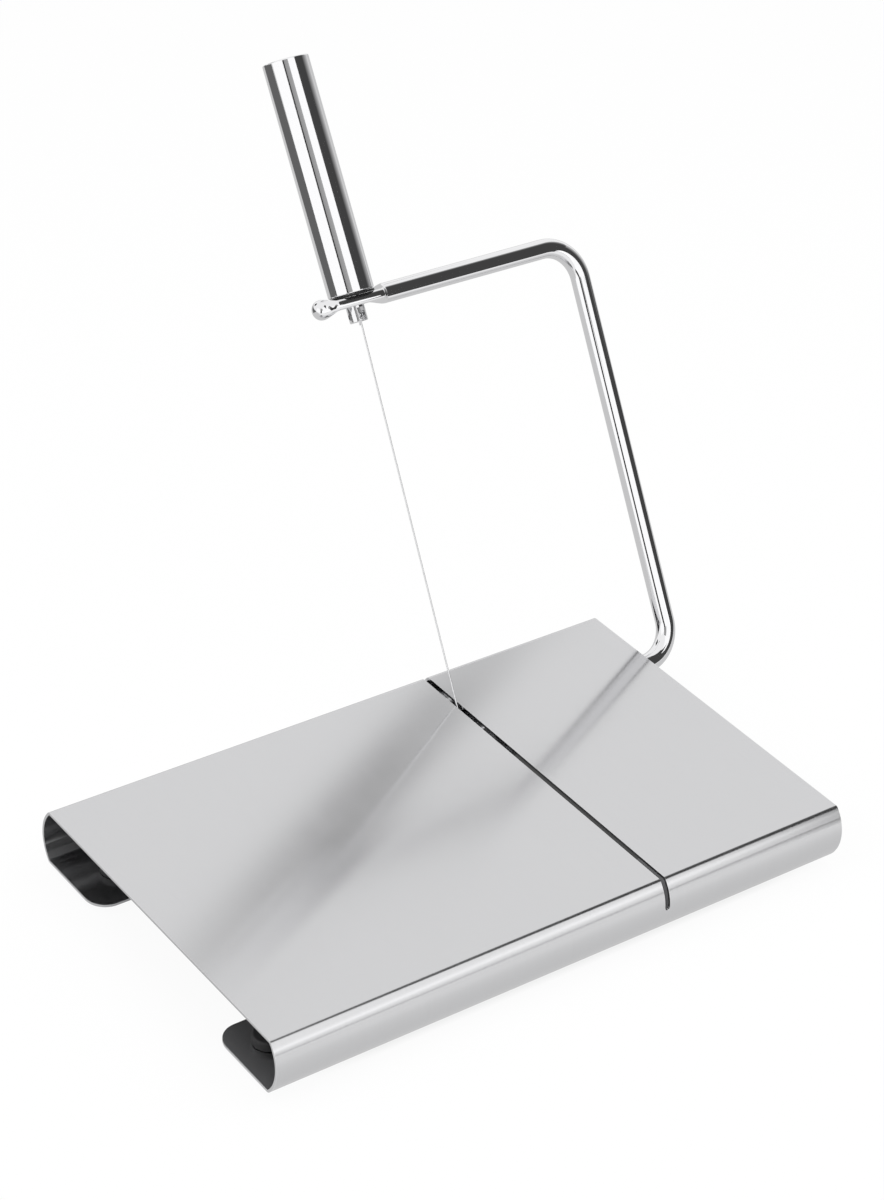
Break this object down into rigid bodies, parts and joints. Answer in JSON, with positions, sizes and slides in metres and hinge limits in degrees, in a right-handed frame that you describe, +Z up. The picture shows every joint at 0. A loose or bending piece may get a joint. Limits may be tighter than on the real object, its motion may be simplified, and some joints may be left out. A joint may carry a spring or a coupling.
{
  "type": "wire cheese cutter",
  "caption": "Bent sheet-steel board with a slot and a hinged rod bow whose round handle tightens a taut cutting wire.",
  "frame": {"origin": "centre of the board's flat top face", "axes": "+X along the board to the end where the bow stands, +Y from the front wall to the rear wall, +Z up"},
  "size_m": [0.2632, 0.259, 0.2344],
  "materials": {
    "board_steel": "satin, with a soft blurred reflection",
    "polished_rod": "mirror polished",
    "polished_tube": "mirror polished",
    "polished_stud": "bright turned",
    "wire_steel": "drawn",
    "bracket_steel": "plain",
    "fitting_steel": "plain",
    "foot_rubber": "matte",
    "washer_plastic": "matte"
  },
  "bodies": {
    "base": {"board": "board_steel", "foot_front_left": "foot_rubber", "foot_front_right": "foot_rubber", "foot_rear_left": "foot_rubber", "foot_rear_right": "foot_rubber", "axle_bracket_left": "bracket_steel", "axle_bracket_right": "bracket_steel"},
    "bow": {"bow": "polished_rod", "stop_pin": "fitting_steel", "axle_ring_outer": "fitting_steel", "axle_ring_inner": "fitting_steel"},
    "handle": {"handle_tube": "polished_tube", "handle_plug": "polished_tube", "handle_insert": "fitting_steel", "handle_washer": "washer_plastic"},
    "tension": {"tension_stud": "polished_stud", "wire_pin": "fitting_steel", "cutting_wire": "wire_steel", "wire_ferrule": "fitting_steel"}
  },
  "joints": [
    {"name": "bow_swing", "type": "hinge", "parent": "base", "child": "bow", "pos_m": [0.04, 0.0452, -0.00901], "axis": [1, 0, 0], "range_deg": [0, 120.5]},
    {"name": "handle_turn", "type": "hinge", "parent": "bow", "child": "handle", "pos_m": [0.04, 0.12821, 0.13046], "axis": [0, 0.5543, 0.8323], "range_deg": [0, 900]},
    {"name": "stud_draw", "type": "slide", "parent": "bow", "child": "tension", "axis": [0, -0.5543, -0.8323], "range_m": [0, 0.0025]}
  ],
  "couplings": [
    {"joint": "stud_draw", "follows": "handle_turn", "m_per_rad": 0.000159}
  ]
}
